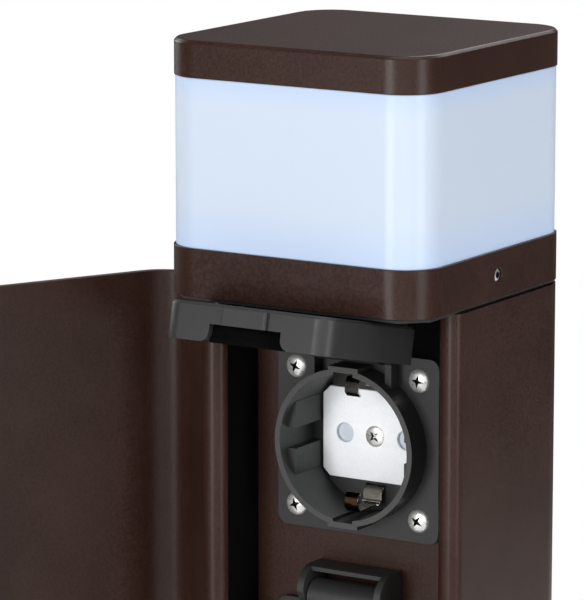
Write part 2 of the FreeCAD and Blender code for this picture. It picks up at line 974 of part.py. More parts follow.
def make_lock_cam():
    """The locking tongue, upright in the unlocked pose."""
    y0, y1 = cam_front_y(), cam_front_y() + cam_thickness
    half = cam_width / 2
    hub = rod(half, V(lock_x, y0, lock_z), along_y, cam_thickness)
    tongue = block(lock_x - half, lock_x + half, y0, y1, lock_z, lock_z + cam_length)
    tongue = tongue.makeChamfer(cam_corner, edges_along(tongue, along_y, z=lock_z + cam_length))
    seat = lock_square / 2 + screw_clearance
    hole = block(lock_x - seat, lock_x + seat, y0, y1, lock_z - seat, lock_z + seat)
    return swing_open(fused([hub, tongue]).cut(hole))


def make_cam_screw():
    seat = V(lock_x, cam_front_y() + cam_thickness, lock_z)
    screw = hex_head_screw(
        cam_screw_flats,
        cam_screw_head_height,
        cam_screw_radius,
        cam_screw_length - 1,
        seat,
        along_y * -1,
    )
    return swing_open(screw)


def keeper_front_y():
    return cam_front_y() - keeper_gap - keeper_thickness


def keeper_screw_y():
    return keeper_front_y() + keeper_length - keeper_screw_setback


def keeper_screw_levels():
    return (lock_z - keeper_screw_spacing / 2, lock_z + keeper_screw_spacing / 2)


def make_lock_keeper():
    z0, z1 = lock_z - keeper_height / 2, lock_z + keeper_height / 2
    front = keeper_front_y()
    leg = block(recess_half - keeper_thickness, recess_half, front, front + keeper_length, z0, z1)
    tab = block(recess_half - keeper_reach, recess_half, front, front + keeper_thickness, z0, z1)
    holes = [
        screw_hole(
            keeper_screw_radius,
            V(recess_half - keeper_thickness, keeper_screw_y(), z),
            along_x,
            keeper_thickness,
        )
        for z in keeper_screw_levels()
    ]
    return fused([leg, tab]).cut(holes)


def make_keeper_screws():
    return Part.makeCompound(
        [
            hex_head_screw(
                keeper_head_flats,
                keeper_head_height,
                keeper_screw_radius,
                keeper_screw_length,
                V(recess_half - keeper_thickness, keeper_screw_y(), z),
                along_x,
            )
            for z in keeper_screw_levels()
        ]
    )


def flange_screw_places(level):
    half = screw_pitch / 2
    return [(sx * half, level + sz * half) for sx in (-1, 1) for sz in (-1, 1)]


def web_hole(level, front, depth):
    """The hole that the back of a socket passes through, with a flat towards each key."""
    start = V(0, front, level)
    hole = faceted_rod(web_hole_radius, start, along_y, depth)
    hole.rotate(start, along_y, 180 / hole_sides)
    return hole


def hood_window(level, front):
    """The room between the hood's cheeks in which the lid's barrel turns."""
    inner = hood_width / 2 - cheek_thickness
    return block(
        -inner, inner, front, web_front_y, level + hood_clear_bottom, level + hood_top - hood_roof
    )


def hinge_hood(level):
    half = hood_width / 2
    top = level + hood_top
    back = web_front_y - gasket_thickness
    front = flange_y - hood_front
    pin_z = level + lid_pin_height
    outline = [
        (back, top),
        (front, top),
        (front, pin_z),
        (flange_y - cheek_front, level + cheek_top),
        (flange_y - cheek_front, level + cheek_bottom),
        (back, level + cheek_bottom),
    ]
    hood = side_profile(outline, -half, half)
    nose = edges_along(hood, along_x, y=front, z=top)
    hood = hood.makeFillet(hood_round, nose)
    chin = edges_along(hood, along_x, y=front, z=pin_z)
    hood = hood.makeChamfer(hood_chin, chin)
    inner = half - cheek_thickness
    between = block(-inner, inner, front - 1, back + 1, level, top - hood_roof)
    mouth = block(-inner, inner, front - 1, flange_y - hood_roof_reach, level, top + 1)
    start = V(-half - 1, lid_pin_y, pin_z)
    pin_hole = faceted_hole(lid_pin_radius + screw_clearance, start, along_x, hood_width + 2)
    return hood.cut([between, mouth, pin_hole])


def make_socket_housing(level):
    half = flange_width / 2
    flange = face_slab(
        half, level - half, level + half, flange_y, flange_y + flange_thickness, flange_corner_radius
    )
    cup = rod(ring_radius, V(0, ring_y, level), along_y, flange_y + flange_thickness - ring_y)
    rear_length = floor_back_y - flange_y
    rear_cup = faceted_rod(ring_radius, V(0, flange_y, level), along_y, rear_length)
    key = block(-key_width / 2, key_width / 2, ring_y, floor_back_y, level - key_reach, level + key_reach)
    hood = hinge_hood(level)
    shell = fused([flange, cup, rear_cup, key, hood])
    recess = rod(recess_radius, V(0, ring_y, level), along_y, recess_depth)
    channel_half = key_width / 2 - ring_wall
    reach = key_reach - ring_wall
    channel = block(-channel_half, channel_half, ring_y, floor_y, level - reach, level + reach)
    window = hood_window(level, flange_y - 1)
    shell = shell.cut([recess, channel, window])
    lugs = []
    for sx in (-1, 1):
        for sz in (-1, 1):
            x = sorted((sx * lug_face, sx * (recess_radius + 0.5)))
            z = sorted((level + sz * lug_inner, level + sz * lug_outer))
            lugs.append(block(x[0], x[1], ring_y + lug_setback, floor_y + 0.5, z[0], z[1]))
    round_space = rod(recess_radius + ring_wall / 2, V(0, ring_y, level), along_y, recess_depth + 1)
    lugs = [lug.common(round_space) for lug in lugs]
    shell = shell.fuse(lugs).removeSplitter()
    cuts = [insert_outline(level, floor_y, floor_back_y, insert_clearance)]
    for side in (-1, 1):
        z = sorted((level + side * clip_slot_top, level + side * (clip_slot_top + clip_slot_height)))
        half = clip_width / 2 + clip_slot_gap
        cuts.append(block(-half, half, floor_y, floor_back_y, z[0], z[1]))
    cuts += [
        screw_hole(flange_screw_radius, V(x, flange_y, z), along_y, flange_thickness)
        for x, z in flange_screw_places(level)
    ]
    return shell.cut(cuts)


def make_socket_gasket(level):
    """A flat gasket whose corners are cut off inside the flange screws."""
    half = flange_width / 2 - gasket_inset
    front = web_front_y - gasket_thickness
    sheet = block(-half, half, front, web_front_y, level - half, level + half)
    corner = 2 * half - screw_pitch + math.sqrt(2) * (flange_screw_radius + gasket_inset)
    sheet = sheet.makeChamfer(corner, edges_along(sheet, along_y))
    return sheet.cut([web_hole(level, front, gasket_thickness), hood_window(level, front)])


def make_flange_screws(level):
    return Part.makeCompound(
        [
            pan_head_screw(
                flange_head_radius,
                flange_head_height,
                flange_screw_radius,
                flange_screw_length,
                V(x, flange_y, z),
                along_y,
            )
            for x, z in flange_screw_places(level)
        ]
    )


def insert_outline(level, y0, y1, grow):
    half_x = insert_width / 2 + grow
    half_z = insert_height / 2 + grow
    plate = block(-half_x, half_x, y0, y1, level - half_z, level + half_z)
    return plate.makeChamfer(insert_chamfer, edges_along(plate, along_y))


def make_socket_insert(level):
    body = insert_outline(level, insert_y, insert_back_y, 0)
    hollow = insert_outline(level, insert_y + insert_plate, insert_back_y, -insert_wall)
    pocket = hollow.cut(faceted_rod(insert_boss_radius, V(0, insert_y, level), along_y, insert_depth))
    cuts = [pocket, screw_hole(insert_screw_radius, V(0, insert_y, level), along_y, insert_depth)]
    cuts += [
        rod(pin_hole_radius, V(side * pin_pitch / 2, insert_y, level), along_y, insert_plate)
        for side in (-1, 1)
    ]
    return body.cut(cuts)


def make_insert_screw(level):
    return pan_head_screw(
        insert_head_radius,
        insert_head_height,
        insert_screw_radius,
        insert_screw_length,
        V(0, insert_y, level),
        along_y,
    )


def make_shutter(level):
    """The two-armed child safety shutter that turns about the insert's boss."""
    reach = shutter_length / 2
    half = shutter_width / 2
    bar = block(-reach, reach, shutter_y, shutter_y + shutter_thickness, level - half, level + half)
    bar = bar.makeChamfer(shutter_corner, edges_along(bar, along_y))
    bore_radius = insert_boss_radius + running_clearance
    return bar.cut(faceted_hole(bore_radius, V(0, shutter_y, level), along_y, shutter_thickness))


def contact_prism(side, level, start_y, length, grow):
    """The square outline of one pin contact, made larger on every side by grow."""
    middle = side * pin_pitch / 2
    half = contact_width / 2 + grow
    return block(middle - half, middle + half, start_y, start_y + length, level - half, level + half)


def make_pin_contacts(level):
    """Brass strips folded to a square sleeve for each plug pin."""
    return Part.makeCompound(
        [
            contact_prism(side, level, contact_y, contact_length, 0).cut(
                contact_prism(side, level, contact_y, contact_length, -contact_wall)
            )
            for side in (-1, 1)
        ]
    )


def make_rear_body(level):
    half = rear_body_width / 2
    rear = floor_back_y + rear_body_depth
    body = block(-half, half, floor_back_y, rear, level - half, level + half)
    body = body.makeChamfer(rear_body_corner, edges_along(body, along_y))
    cuts = [insert_outline(level, floor_back_y, insert_back_y, insert_clearance)]
    contact_reach = contact_y + contact_length - insert_back_y
    cuts += [
        contact_prism(side, level, insert_back_y, contact_reach, contact_seat_clearance)
        for side in (-1, 1)
    ]
    cuts.append(
        screw_hole(insert_screw_radius, V(0, insert_back_y, level), along_y, insert_screw_length)
    )
    return body.cut(cuts)


def strap_outline(points, thickness):
    """A strap of even thickness bent along a line of points, its corners mitred."""
    near, far = [], []
    for index, point in enumerate(points):
        before = points[max(index - 1, 0)]
        after = points[min(index + 1, len(points) - 1)]
        normals = []
        for start, end in ((before, point), (point, after)):
            if end != start:
                normals.append((end - start).cross(along_x).normalize())
        middle = sum(normals, V()).normalize()
        reach = middle * (thickness / 2 / middle.dot(normals[0]))
        near.append(point + reach)
        far.append(point - reach)
    corners = near + far[::-1]
    return Part.Face(Part.makePolygon(corners + corners[:1]))


def clip_route(side, level):
    """The bends of one earth clip, from the floor slot to its hooked front end."""
    bottom = key_reach - ring_wall - clip_thickness / 2 - clip_gap
    middle = clip_slot_top + clip_slot_height / 2
    hook_y = ring_y + clip_hook_setback
    route = [
        (floor_back_y - clip_thickness / 2, middle),
        (floor_y - clip_rise + clip_bend, middle),
        (floor_y - clip_rise, middle + clip_bend),
        (floor_y - clip_rise, bottom - clip_bend),
        (floor_y - clip_rise - clip_bend, bottom),
        (hook_y + clip_bend, bottom),
        (hook_y, bottom - clip_bend),
        (hook_y, clip_slot_top + clip_bend),
        (hook_y + clip_bend, clip_slot_top),
    ]
    return [V(0, y, level + side * z) for y, z in route]


def make_earth_clips(level):
    clips = []
    for side in (-1, 1):
        strap = strap_outline(clip_route(side, level), clip_thickness).extrude(V(clip_width, 0, 0))
        strap.translate(V(-clip_width / 2, 0, 0))
        trims = [
            block(x, x + clip_width, ring_y, floor_y - clip_wide_length, level - key_reach, level + key_reach)
            for x in (-clip_tip_width / 2 - clip_width, clip_tip_width / 2)
        ]
        clips.append(strap.cut(trims))
    return Part.makeCompound(clips)


def lid_angle(name):
    """The upper lid stands open and the lower lid is shut."""
    return -lid_open_angle if name == "upper" else 0.0


def turn_lid(shape, name, level):
    turned = shape.copy()
    turned.rotate(V(0, lid_pin_y, level + lid_pin_height), along_x, lid_angle(name))
    return turned


def finger_notch(front, z0, z1):
    """The cut under the lid's lip, its mouth flared by a round corner on each side."""
    half = lid_notch_width / 2
    flare = lid_notch_radius
    tools = [block(-half, half, front, lid_rim_y + 1, z0, z1)]
    for side in (-1, 1):
        x0, x1 = sorted((side * half, side * (half + flare)))
        square = block(x0, x1, lid_rim_y - flare, lid_rim_y, z0, z1)
        centre = V(side * (half + flare), lid_rim_y - flare, z0)
        tools.append(square.cut(rod(flare, centre, along_z, z1 - z0)))
    return fused(tools)


def make_lid(name, level):
    half = flange_width / 2
    bottom, top = level - lid_bottom, level + lid_top
    pin_z = level + lid_pin_height
    shell = block(-half, half, lid_front_y, lid_rim_y, bottom, top)
    shell = shell.makeFillet(lid_corner_radius, edges_along(shell, along_y, z=bottom))
    edge_loop = [
        e
        for e in shell.Edges
        if abs(e.BoundBox.YMax - lid_front_y) < 1e-4 and e.BoundBox.ZMin < top - 1e-4
    ]
    shell = shell.makeChamfer(lid_edge, edge_loop)
    inner_half = half - lid_skirt
    floor_y, skirt_z = lid_front_y + lid_plate, bottom + lid_skirt
    cavity = block(-inner_half, inner_half, floor_y, lid_rim_y, skirt_z, top + 1)
    inner_edges = edges_along(cavity, along_y, z=skirt_z)
    cavity = cavity.makeFillet(lid_corner_radius - lid_skirt, inner_edges)
    shell = shell.cut(cavity)
    sink_z = bottom + lid_notch_sink
    back_half = lid_notch_width / 2 + lid_notch_wall
    back_y = lid_front_y + lid_plate / 2
    back_z = bottom + lid_skirt / 2
    backing = block(-back_half, back_half, back_y, lid_rim_y, back_z, sink_z + lid_notch_wall)
    tab_half = lid_tab_width / 2
    tab_y0, tab_y1 = lid_front_y + lid_edge, lid_rim_y - lid_notch_depth
    tab_z = bottom - lid_tab_proud
    tab = block(-tab_half, tab_half, tab_y0, tab_y1, tab_z, bottom + 1)
    tab = tab.makeFillet(lid_edge, edges_along(tab, along_y, z=tab_z))
    arm_half = lid_barrel_width / 2
    arm_y = lid_front_y + lid_arm_thickness
    arm = block(-arm_half, arm_half, lid_front_y, arm_y, top - lid_arm_overlap, pin_z)
    core = block(-arm_half, arm_half, lid_front_y, lid_pin_y, pin_z - lid_arm_core, pin_z)
    arm = fused([arm, core])
    arm = arm.makeFillet(lid_arm_round, edges_along(arm, along_x, y=lid_front_y, z=pin_z))
    barrel = rod(lid_barrel_radius, V(-arm_half, lid_pin_y, pin_z), along_x, lid_barrel_width)
    shell = fused([shell, backing, tab, arm, barrel])
    notch = finger_notch(tab_y1, tab_z - 1, sink_z)
    bore_start = V(-arm_half - 1, lid_pin_y, pin_z)
    bore = faceted_hole(lid_pin_radius + running_clearance, bore_start, along_x, lid_barrel_width + 2)
    shell = shell.cut([notch, bore])
    return turn_lid(shell, name, level)


def make_lid_seal(name, level):
    start = V(0, lid_front_y + lid_plate, level)
    ring = regular_prism(lid_seal_sides, lid_seal_outer, start, along_y, lid_seal_thickness)
    ring = ring.cut(regular_prism(lid_seal_sides, lid_seal_inner, start, along_y, lid_seal_thickness))
    top = block(-half_width, half_width, ring_y - 5, 0, level + lid_top - 0.5, level + half_width)
    return turn_lid(ring.cut(top), name, level)


def make_lid_pin(level):
    half = hood_width / 2 - lid_pin_sink
    return rod(lid_pin_radius, V(-half, lid_pin_y, level + lid_pin_height), along_x, 2 * half)


def socket_parts(name, level):
    prefix = name + "_socket_"
    return {
        prefix + "housing": make_socket_housing(level),
        prefix + "gasket": make_socket_gasket(level),
        prefix + "flange_screws": make_flange_screws(level),
        prefix + "insert": make_socket_insert(level),
        prefix + "insert_screw": make_insert_screw(level),
        prefix + "shutter": make_shutter(level),
        prefix + "contacts": make_pin_contacts(level),
        prefix + "rear_body": make_rear_body(level),
        prefix + "earth_clips": make_earth_clips(level),
        name + "_lid": make_lid(name, level),
        name + "_lid_seal": make_lid_seal(name, level),
        name + "_lid_pin": make_lid_pin(level),
    }


def all_parts():
    parts = {
        "top_cap": make_top_cap(),
        "diffuser": make_diffuser(),
        "head_collar": make_head_collar(),
        "collar_set_screws": make_collar_set_screws(),
        "head_spigot": make_head_spigot(),
        "spigot_screws": make_spigot_screws(),
        "head_gasket": make_head_gasket(),
        "tie_rods": make_tie_rods(),
        "heat_sink": make_heat_sink(),
        "led_board": make_led_board(),
        "led_emitters": make_led_emitters(),
        "led_driver": make_led_driver(),
        "post_body": make_post_body(),
        "base_plate": make_base_plate(),
        "base_screws": make_base_screws(),
        "cable_gland": make_cable_gland(),
        "gland_nut": make_gland_nut(),
        "terminal_block": make_terminal_block(),
        "terminal_screws": make_terminal_screws(),
        "earth_stud": make_earth_stud(),
        "service_cover": make_service_cover(),
        "service_cover_seal": make_service_cover_seal(),
        "service_cover_screws": make_service_cover_screws(),
        "door": make_door(),
        "door_hinge_arms": make_door_hinge_arms(),
        "hinge_blocks": make_hinge_blocks(),
        "hinge_pins": make_hinge_pins(),
        "lock_barrel": make_lock_barrel(),
        "lock_plug": make_lock_plug(),
        "lock_nut": make_lock_nut(),
        "lock_cam": make_lock_cam(),
        "cam_screw": make_cam_screw(),
        "lock_keeper": make_lock_keeper(),
        "keeper_screws": make_keeper_screws(),
    }
    for name, level in socket_levels.items():
        parts.update(socket_parts(name, level))
    return parts


os.makedirs("parts", exist_ok=True)
for part_name, part_shape in all_parts().items():
    part_shape.exportStep(f"parts/{part_name}.step")
    print(part_name, "solids", len(part_shape.Solids), "valid", part_shape.isValid())
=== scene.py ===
import json
import math

import bmesh
import bpy
from mathutils import Matrix, Vector

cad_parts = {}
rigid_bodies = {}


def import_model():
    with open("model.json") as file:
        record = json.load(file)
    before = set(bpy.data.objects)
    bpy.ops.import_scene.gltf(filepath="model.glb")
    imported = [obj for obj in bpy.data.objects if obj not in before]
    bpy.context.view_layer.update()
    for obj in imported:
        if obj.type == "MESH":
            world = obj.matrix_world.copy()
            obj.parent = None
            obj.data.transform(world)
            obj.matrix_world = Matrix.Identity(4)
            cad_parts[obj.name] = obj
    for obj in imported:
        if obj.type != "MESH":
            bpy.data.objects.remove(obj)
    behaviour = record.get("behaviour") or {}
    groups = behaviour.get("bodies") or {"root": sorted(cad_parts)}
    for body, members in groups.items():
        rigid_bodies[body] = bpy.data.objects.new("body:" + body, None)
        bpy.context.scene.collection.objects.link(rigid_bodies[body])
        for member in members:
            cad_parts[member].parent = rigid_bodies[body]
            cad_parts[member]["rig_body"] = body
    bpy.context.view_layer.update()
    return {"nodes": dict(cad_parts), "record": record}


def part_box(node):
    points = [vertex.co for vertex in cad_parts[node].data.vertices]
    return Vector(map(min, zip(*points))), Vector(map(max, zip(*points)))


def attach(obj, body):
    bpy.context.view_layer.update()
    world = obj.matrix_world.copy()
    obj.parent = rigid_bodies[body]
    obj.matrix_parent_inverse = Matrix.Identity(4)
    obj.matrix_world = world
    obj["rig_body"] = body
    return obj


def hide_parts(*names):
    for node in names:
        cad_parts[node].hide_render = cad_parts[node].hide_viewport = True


# Looks of a garden lamp post with two flap sockets: metres, +Z up, door side towards -Y.

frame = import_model()
nodes = frame["nodes"]
slotOf = {part["node"]: part["material_slot"] for part in frame["record"]["subparts"]}
print("frame loaded:", len(nodes), "nodes")


def screenColour(red, green, blue):
    # a colour as seen on screen, 0 to 255, as the renderer's linear colour
    linear = []
    for value in (red, green, blue):
        share = value / 255
        linear.append(share / 12.92 if share <= 0.04045 else ((share + 0.055) / 1.055) ** 2.4)
    return (*linear, 1.0)


def newGroup(name, inputs, outputs):
    tree = bpy.data.node_groups.new(name, "ShaderNodeTree")
    for label, value in inputs.items():
        kind = "NodeSocketFloat" if isinstance(value, float) else "NodeSocketColor"
        tree.interface.new_socket(label, in_out="INPUT", socket_type=kind).default_value = value
    for label, kind in outputs.items():
        tree.interface.new_socket(label, in_out="OUTPUT", socket_type=kind)
    return tree, tree.nodes.new("NodeGroupInput"), tree.nodes.new("NodeGroupOutput")


def feed(tree, value, socket):
    # another node's output is linked, a plain value set
    if isinstance(value, bpy.types.NodeSocket):
        tree.links.new(value, socket)
    else:
        socket.default_value = value


def mathNode(tree, operation, *values):
    node = tree.nodes.new("ShaderNodeMath")
    node.operation = operation
    for value, socket in zip(values, node.inputs):
        feed(tree, value, socket)
    return node.outputs[0]


def noiseNode(tree, coordinate, scale, detail, stretch=None):
    node = tree.nodes.new("ShaderNodeTexNoise")
    if stretch:
        mapping = tree.nodes.new("ShaderNodeMapping")
        mapping.inputs["Scale"].default_value = stretch
        tree.links.new(coordinate, mapping.inputs["Vector"])
        coordinate = mapping.outputs[0]
    for label, value in (("Vector", coordinate), ("Scale", scale), ("Detail", detail)):
        feed(tree, value, node.inputs[label])
    return node.outputs["Fac"]


def mixColours(tree, mask, first, second):
    mix = tree.nodes.new("ShaderNodeMix")
    mix.data_type = "RGBA"
    for label, value in (("Factor", mask), ("A", first), ("B", second)):
        feed(tree, value, mix.inputs[label])
    return next(socket for socket in mix.outputs if socket.enabled)


def grainGroup():
    # textured surface: Height for a bump, Speck for roughness, Cloud for slow changes of tone
    grain = {"broadScale": 0.35, "broadShare": 0.8, "speckScale": 0.8}
    outputs = {"Height": "NodeSocketFloat", "Speck": "NodeSocketFloat", "Cloud": "NodeSocketFloat"}
    tree, groupIn, groupOut = newGroup("surfaceGrain", {"Grain Size": 0.0005, "Cloud Size": 0.03}, outputs)
    place = tree.nodes.new("ShaderNodeTexCoord").outputs["Object"]
    fineScale = mathNode(tree, "DIVIDE", 1.0, groupIn.outputs["Grain Size"])
    cloudScale = mathNode(tree, "DIVIDE", 1.0, groupIn.outputs["Cloud Size"])
    fine = noiseNode(tree, place, fineScale, 2.0)
    broad = noiseNode(tree, place, mathNode(tree, "MULTIPLY", fineScale, grain["broadScale"]), 1.0)
    speck = noiseNode(tree, place, mathNode(tree, "MULTIPLY", fineScale, grain["speckScale"]), 1.0)
    cloud = noiseNode(tree, place, cloudScale, 3.0)
    height = mathNode(tree, "ADD", fine, mathNode(tree, "MULTIPLY", broad, grain["broadShare"]))
    for label, value in (("Height", height), ("Speck", speck), ("Cloud", cloud)):
        tree.links.new(value, groupOut.inputs[label])
    return tree


def streakGroup():
    # drawn and turned metal: fine streaks along one axis, and slow changes of tone
    stretch = (0.12, 1.0, 1.0)
    outputs = {"Streak": "NodeSocketFloat", "Cloud": "NodeSocketFloat"}
    tree, groupIn, groupOut = newGroup("metalStreaks", {"Streak Size": 0.0004, "Cloud Size": 0.006}, outputs)
    place = tree.nodes.new("ShaderNodeTexCoord").outputs["Object"]
    streakScale = mathNode(tree, "DIVIDE", 1.0, groupIn.outputs["Streak Size"])
    cloudScale = mathNode(tree, "DIVIDE", 1.0, groupIn.outputs["Cloud Size"])
    streak = noiseNode(tree, place, streakScale, 2.0, stretch)
    cloud = noiseNode(tree, place, cloudScale, 2.0)
    for label, value in (("Streak", streak), ("Cloud", cloud)):
        tree.links.new(value, groupOut.inputs[label])
    return tree


def toneGroup():
    # faces marked with a tone below zero turn towards Dark, above zero towards Pale: painted shade and
    # painted light, and the lock's duller colour
    dark, pale = (0.01, 0.01, 0.01, 1.0), (0.8, 0.8, 0.8, 1.0)
    inputs = {"Colour": pale, "Dark": dark, "Pale": pale}
    tree, groupIn, groupOut = newGroup("toneShift", inputs, {"Colour": "NodeSocketColor"})
    mark = tree.nodes.new("ShaderNodeAttribute")
    mark.attribute_name = "tone"
    above = mark.outputs["Fac"]
    below = mathNode(tree, "MULTIPLY", above, -1.0)
    colour = groupIn.outputs["Colour"]
    for label, mask in (("Dark", below), ("Pale", above)):
        colour = mixColours(tree, mask, colour, groupIn.outputs[label])
    tree.links.new(colour, groupOut.inputs["Colour"])
    return tree


grainTree = grainGroup()
streakTree = streakGroup()
toneTree = toneGroup()


def newMaterial(name):
    material = bpy.data.materials.new(name)
    material.use_nodes = True
    return material, material.node_tree, material.node_tree.nodes["Principled BSDF"]


def placeGroup(tree, group, values):
    node = tree.nodes.new("ShaderNodeGroup")
    node.node_tree = group
    for label, value in values.items():
        node.inputs[label].default_value = value
    return node


def toned(tree, colour, values):
    # Dark is the colour of painted shade, Pale of painted highlights and reflections
    shift = placeGroup(tree, toneTree, {"Dark": values["sunk"], "Pale": values["raised"]})
    tree.links.new(colour, shift.inputs["Colour"])
    return shift.outputs["Colour"]


def softRange(tree, value, fromLow=0.0, fromHigh=1.0, toLow=0.0, toHigh=1.0):
    node = tree.nodes.new("ShaderNodeMapRange")
    node.interpolation_type = "SMOOTHSTEP"
    limits = {"From Min": fromLow, "From Max": fromHigh, "To Min": toLow, "To Max": toHigh}
    for label, limit in {**limits, "Value": value}.items():
        feed(tree, limit, node.inputs[label])
    return node.outputs["Result"]


def spread(tree, noise, low, high):
    # nearly all of a noise lies within its usual range, which is spread here from low to high
    usual = (0.3, 0.7)
    return softRange(tree, noise, *usual, low, high)


def bumpFrom(tree, height, shader, strength, distance):
    bump = tree.nodes.new("ShaderNodeBump")
    bump.inputs["Strength"].default_value = strength
    bump.inputs["Distance"].default_value = distance
    tree.links.new(height, bump.inputs["Height"])
    tree.links.new(bump.outputs["Normal"], shader.inputs["Normal"])


def grainMasks(tree, values):
    # clouds, specks and height of a coated or moulded surface
    sizes = {"Grain Size": values["grain"], "Cloud Size": values["cloud"]}
    grain = placeGroup(tree, grainTree, sizes).outputs
    total = mathNode(tree, "ADD", grain["Cloud"], grain["Speck"])
    return mathNode(tree, "MULTIPLY", total, 0.5), grain["Speck"], grain["Height"]


def streakMasks(tree, values):
    # clouds, specks and height of a drawn or turned surface
    sizes = {"Streak Size": values["streak"], "Cloud Size": values["cloud"]}
    streaks = placeGroup(tree, streakTree, sizes).outputs
    return streaks["Cloud"], streaks["Streak"], streaks["Streak"]


def finishMaterial(name, masksOf, values):
    # clouds mix the two colours, specks change the roughness and the height goes to the bump
    material, tree, shader = newMaterial(name)
    clouds, specks, height = masksOf(tree, values)
    colour = mixColours(tree, spread(tree, clouds, 0.0, 1.0), values["dark"], values["light"])
    # face tones paint shade, highlights and reflections into materials that have a sunk colour
    if "sunk" in values:
        colour = toned(tree, colour, values)
    tree.links.new(colour, shader.inputs["Base Color"])
    tree.links.new(spread(tree, specks, *values["rough"]), shader.inputs["Roughness"])
    bumpFrom(tree, height, shader, values["bump"], values["depth"])
    shader.inputs["Specular IOR Level"].default_value = values.get("specular", 0.5)
    shader.inputs["Metallic"].default_value = values.get("metallic", 0.0)
    return material


def brownCoat():
    # fine textured powder coat
    values = {
        "dark": screenColour(43, 24, 18),
        "light": screenColour(54, 35, 28),
        "rough": (0.29, 0.36),
        "grain": 0.0006,
        "cloud": 0.02,
        "bump": 0.22,
        "depth": 0.00007,
        "specular": 0.25,
    }
    return finishMaterial("brownCoat", grainMasks, values)


def paintedShadeDark():
    # painted shade: a near-black sheet finish for places that lie in shade
    values = {
        "dark": screenColour(6, 5, 5),
        "light": screenColour(10, 9, 9),
        "rough": (0.8, 0.95),
        "grain": 0.0006,
        "cloud": 0.008,
        "bump": 0.4,
        "depth": 0.0001,
        "specular": 0.04,
    }
    return finishMaterial("paintedShadeDark", grainMasks, values)


def opalPaintedGlow():
    # opal head with a painted glow that stands in for light falling on it: bluer and dimmer near its top and
    # foot
    paintedGlow = {
        "body": screenColour(165, 175, 188),
        "edgeBody": screenColour(160, 174, 195),
        "middle": screenColour(208, 222, 238),
        "edge": screenColour(190, 209, 242),
        "strength": 0.3,
        "rough": (0.28, 0.33),
        "specular": 0.28,
        "hidden": 0.003,
        "topReach": 0.007,
        "footReach": 0.014,
        "cloudScale": 26.0,
        "cloudShade": (0.96, 1.0),
    }
    material, tree, shader = newMaterial("opalPaintedGlow")
    low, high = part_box("diffuser")
    coordinate = tree.nodes.new("ShaderNodeTexCoord").outputs["Object"]
    place = tree.nodes.new("ShaderNodeSeparateXYZ")
    tree.links.new(coordinate, place.inputs[0])
    toTop = mathNode(tree, "SUBTRACT", high.z - paintedGlow["hidden"], place.outputs["Z"])
    toFoot = mathNode(tree, "SUBTRACT", place.outputs["Z"], low.z + paintedGlow["hidden"])
    topShare = mathNode(tree, "DIVIDE", toTop, paintedGlow["topReach"])
    footShare = mathNode(tree, "DIVIDE", toFoot, paintedGlow["footReach"])
    band = softRange(tree, mathNode(tree, "MINIMUM", topShare, footShare))
    cloud = noiseNode(tree, coordinate, paintedGlow["cloudScale"], 1.0)
    shade = mathNode(tree, "MULTIPLY", band, spread(tree, cloud, *paintedGlow["cloudShade"]))
    tree.links.new(mixColours(tree, shade, paintedGlow["edge"], paintedGlow["middle"]), shader.inputs["Emission Color"])
    tree.links.new(mixColours(tree, shade, paintedGlow["edgeBody"], paintedGlow["body"]), shader.inputs["Base Color"])
    tree.links.new(spread(tree, cloud, *paintedGlow["rough"]), shader.inputs["Roughness"])
    shader.inputs["Emission Strength"].default_value = paintedGlow["strength"]
    shader.inputs["Specular IOR Level"].default_value = paintedGlow["specular"]
    return material


def emitterGlow():
    # light emitters on the board behind the opal
    values = {
        "dark": screenColour(236, 205, 96),
        "light": screenColour(250, 226, 130),
        "grain": 0.0004,
        "cloud": 0.002,
        "strength": 0.8,
    }
    material, tree, shader = newMaterial("emitterYellow")
    grain = placeGroup(tree, grainTree, {"Grain Size": values["grain"], "Cloud Size": values["cloud"]})
    colour = mixColours(tree, grain.outputs["Cloud"], values["dark"], values["light"])
    tree.links.new(colour, shader.inputs["Base Color"])
    tree.links.new(colour, shader.inputs["Emission Color"])
    shader.inputs["Emission Strength"].default_value = values["strength"]
    return material


plastics = {
    "socket_plastic": {
        "dark": screenColour(37, 38, 37),
        "light": screenColour(43, 44, 43),
        "sunk": screenColour(10, 10, 9),
        # raised here is the painted highlight on the ring's front rim
        "raised": screenColour(60, 61, 59),
        "rough": (0.38, 0.5),
        "grain": 0.0004,
        "cloud": 0.015,
        "bump": 0.2,
        "depth": 0.00004,
        "specular": 0.36,
    },
    "black_plastic": {
        "dark": screenColour(26, 26, 27),
        "light": screenColour(34, 34, 35),
        "rough": (0.35, 0.5),
        "grain": 0.0005,
        "cloud": 0.01,
        "bump": 0.25,
        "depth": 0.00005,
    },
    "white_plastic": {
        "dark": screenColour(243, 246, 249),
        "light": screenColour(249, 251, 253),
        "rough": (0.3, 0.4),
        "grain": 0.0006,
        "cloud": 0.008,
        "bump": 0.12,
        "depth": 0.00004,
    },
    "blue_grey_plastic": {
        "dark": screenColour(192, 202, 212),
        "light": screenColour(200, 209, 219),
        "rough": (0.3, 0.42),
        "grain": 0.0005,
        "cloud": 0.004,
        "bump": 0.12,
        "depth": 0.00004,
    },
    "grey_plastic": {
        "dark": screenColour(160, 162, 164),
        "light": screenColour(176, 178, 180),
        "rough": (0.38, 0.5),
        "grain": 0.0005,
        "cloud": 0.012,
        "bump": 0.2,
        "depth": 0.00005,
    },
    "black_rubber": {
        "dark": screenColour(16, 16, 17),
        "light": screenColour(24, 24, 25),
        "rough": (0.6, 0.78),
        "grain": 0.0005,
        "cloud": 0.01,
        "bump": 0.3,
        "depth": 0.00006,
    },
    "board_white": {
        "dark": screenColour(226, 228, 226),
        "light": screenColour(240, 241, 239),
        "rough": (0.35, 0.5),
        "grain": 0.0006,
        "cloud": 0.008,
        "bump": 0.1,
        "depth": 0.00003,
    },
}
